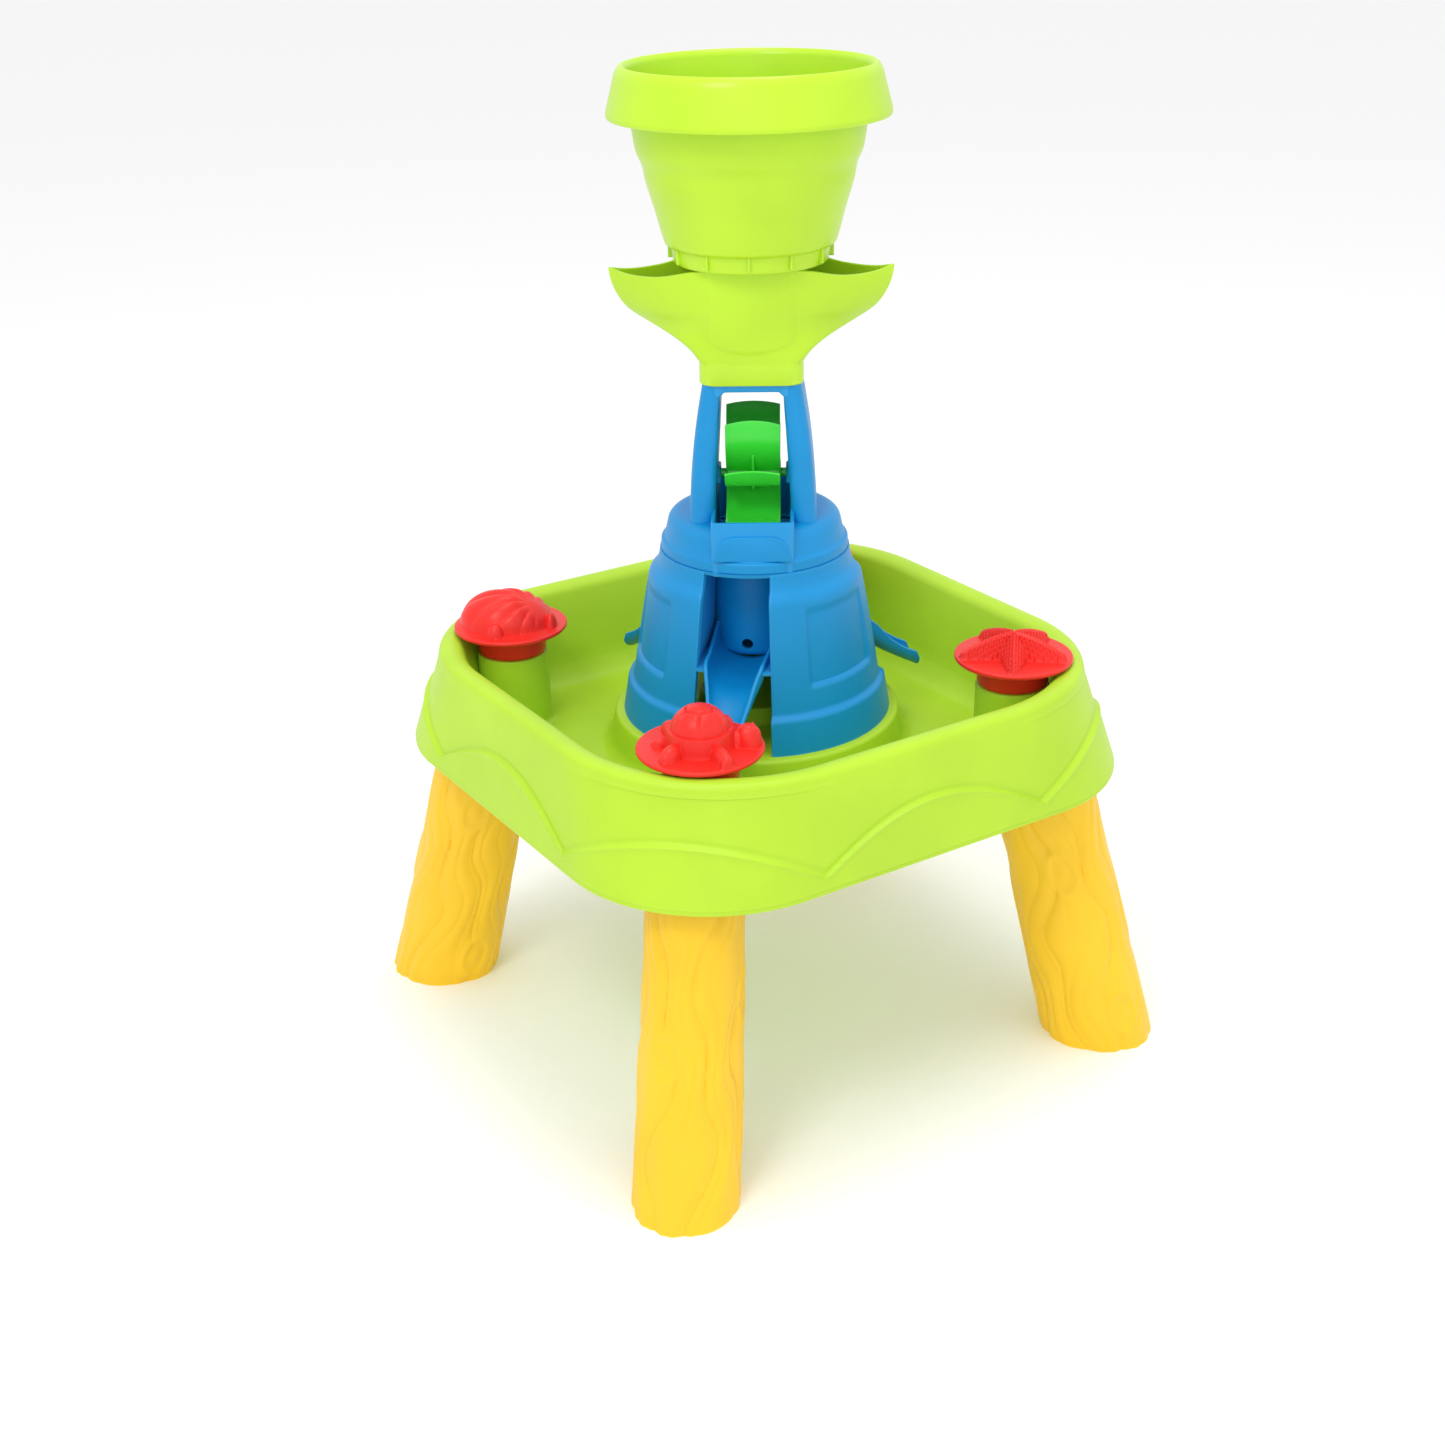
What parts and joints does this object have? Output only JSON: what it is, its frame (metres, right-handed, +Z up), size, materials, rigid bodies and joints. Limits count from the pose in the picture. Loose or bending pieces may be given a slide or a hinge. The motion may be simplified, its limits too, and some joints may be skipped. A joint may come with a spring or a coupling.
{
  "type": "sand and water table",
  "caption": "Square play table with leaning legs, a basin with corner moulds, and a water tower with chutes, a spinning wheel, a winged funnel and a bucket.",
  "frame": {"origin": "on the ground, under the middle of the tray", "axes": "+Z up; the tray's sides are parallel to X and Y; the front is at -Y"},
  "size_m": [0.4362, 0.4362, 0.6818],
  "materials": {
    "lime_tray": "satin moulded plastic with a fine grain",
    "lime_tower": "satin moulded plastic, slightly translucent at thin edges",
    "blue_tower": "satin moulded plastic with a fine grain",
    "green_wheel": "glossy moulded plastic",
    "yellow_leg": "satin moulded plastic with a bark relief",
    "red_cap": "satin moulded plastic"
  },
  "bodies": {
    "table": {"tray": "lime_tray", "castle": "blue_tower", "core_tank": "blue_tower", "chute_front": "blue_tower", "chute_right": "blue_tower", "chute_back": "blue_tower", "tower_cap": "blue_tower", "wheel_frame": "blue_tower", "funnel": "lime_tower", "leg_front_left": "yellow_leg", "leg_front_right": "yellow_leg", "leg_back_left": "yellow_leg", "leg_back_right": "yellow_leg"},
    "wheel": {"water_wheel": "green_wheel", "wheel_axle": "green_wheel"},
    "bucket": {"bucket": "lime_tower"},
    "cap_turtle": {"cap_turtle": "red_cap"},
    "cap_starfish": {"cap_starfish": "red_cap"},
    "cap_scallop": {"cap_scallop": "red_cap"},
    "cap_crab": {"cap_crab": "red_cap"}
  },
  "joints": [
    {"name": "wheel_spin", "type": "hinge", "parent": "table", "child": "wheel", "pos_m": [0, 0, 0.4145], "axis": [0.8192, -0.5736, 0], "continuous": true},
    {"name": "bucket_lift", "type": "slide", "parent": "table", "child": "bucket", "axis": [0, 0, 1], "range_m": [0, 0.12]},
    {"name": "cap_turtle_lift", "type": "slide", "parent": "table", "child": "cap_turtle", "axis": [0, 0, 1], "range_m": [0, 0.05]},
    {"name": "cap_starfish_lift", "type": "slide", "parent": "table", "child": "cap_starfish", "axis": [0, 0, 1], "range_m": [0, 0.05]},
    {"name": "cap_scallop_lift", "type": "slide", "parent": "table", "child": "cap_scallop", "axis": [0, 0, 1], "range_m": [0, 0.05]},
    {"name": "cap_crab_lift", "type": "slide", "parent": "table", "child": "cap_crab", "axis": [0, 0, 1], "range_m": [0, 0.05]}
  ]
}
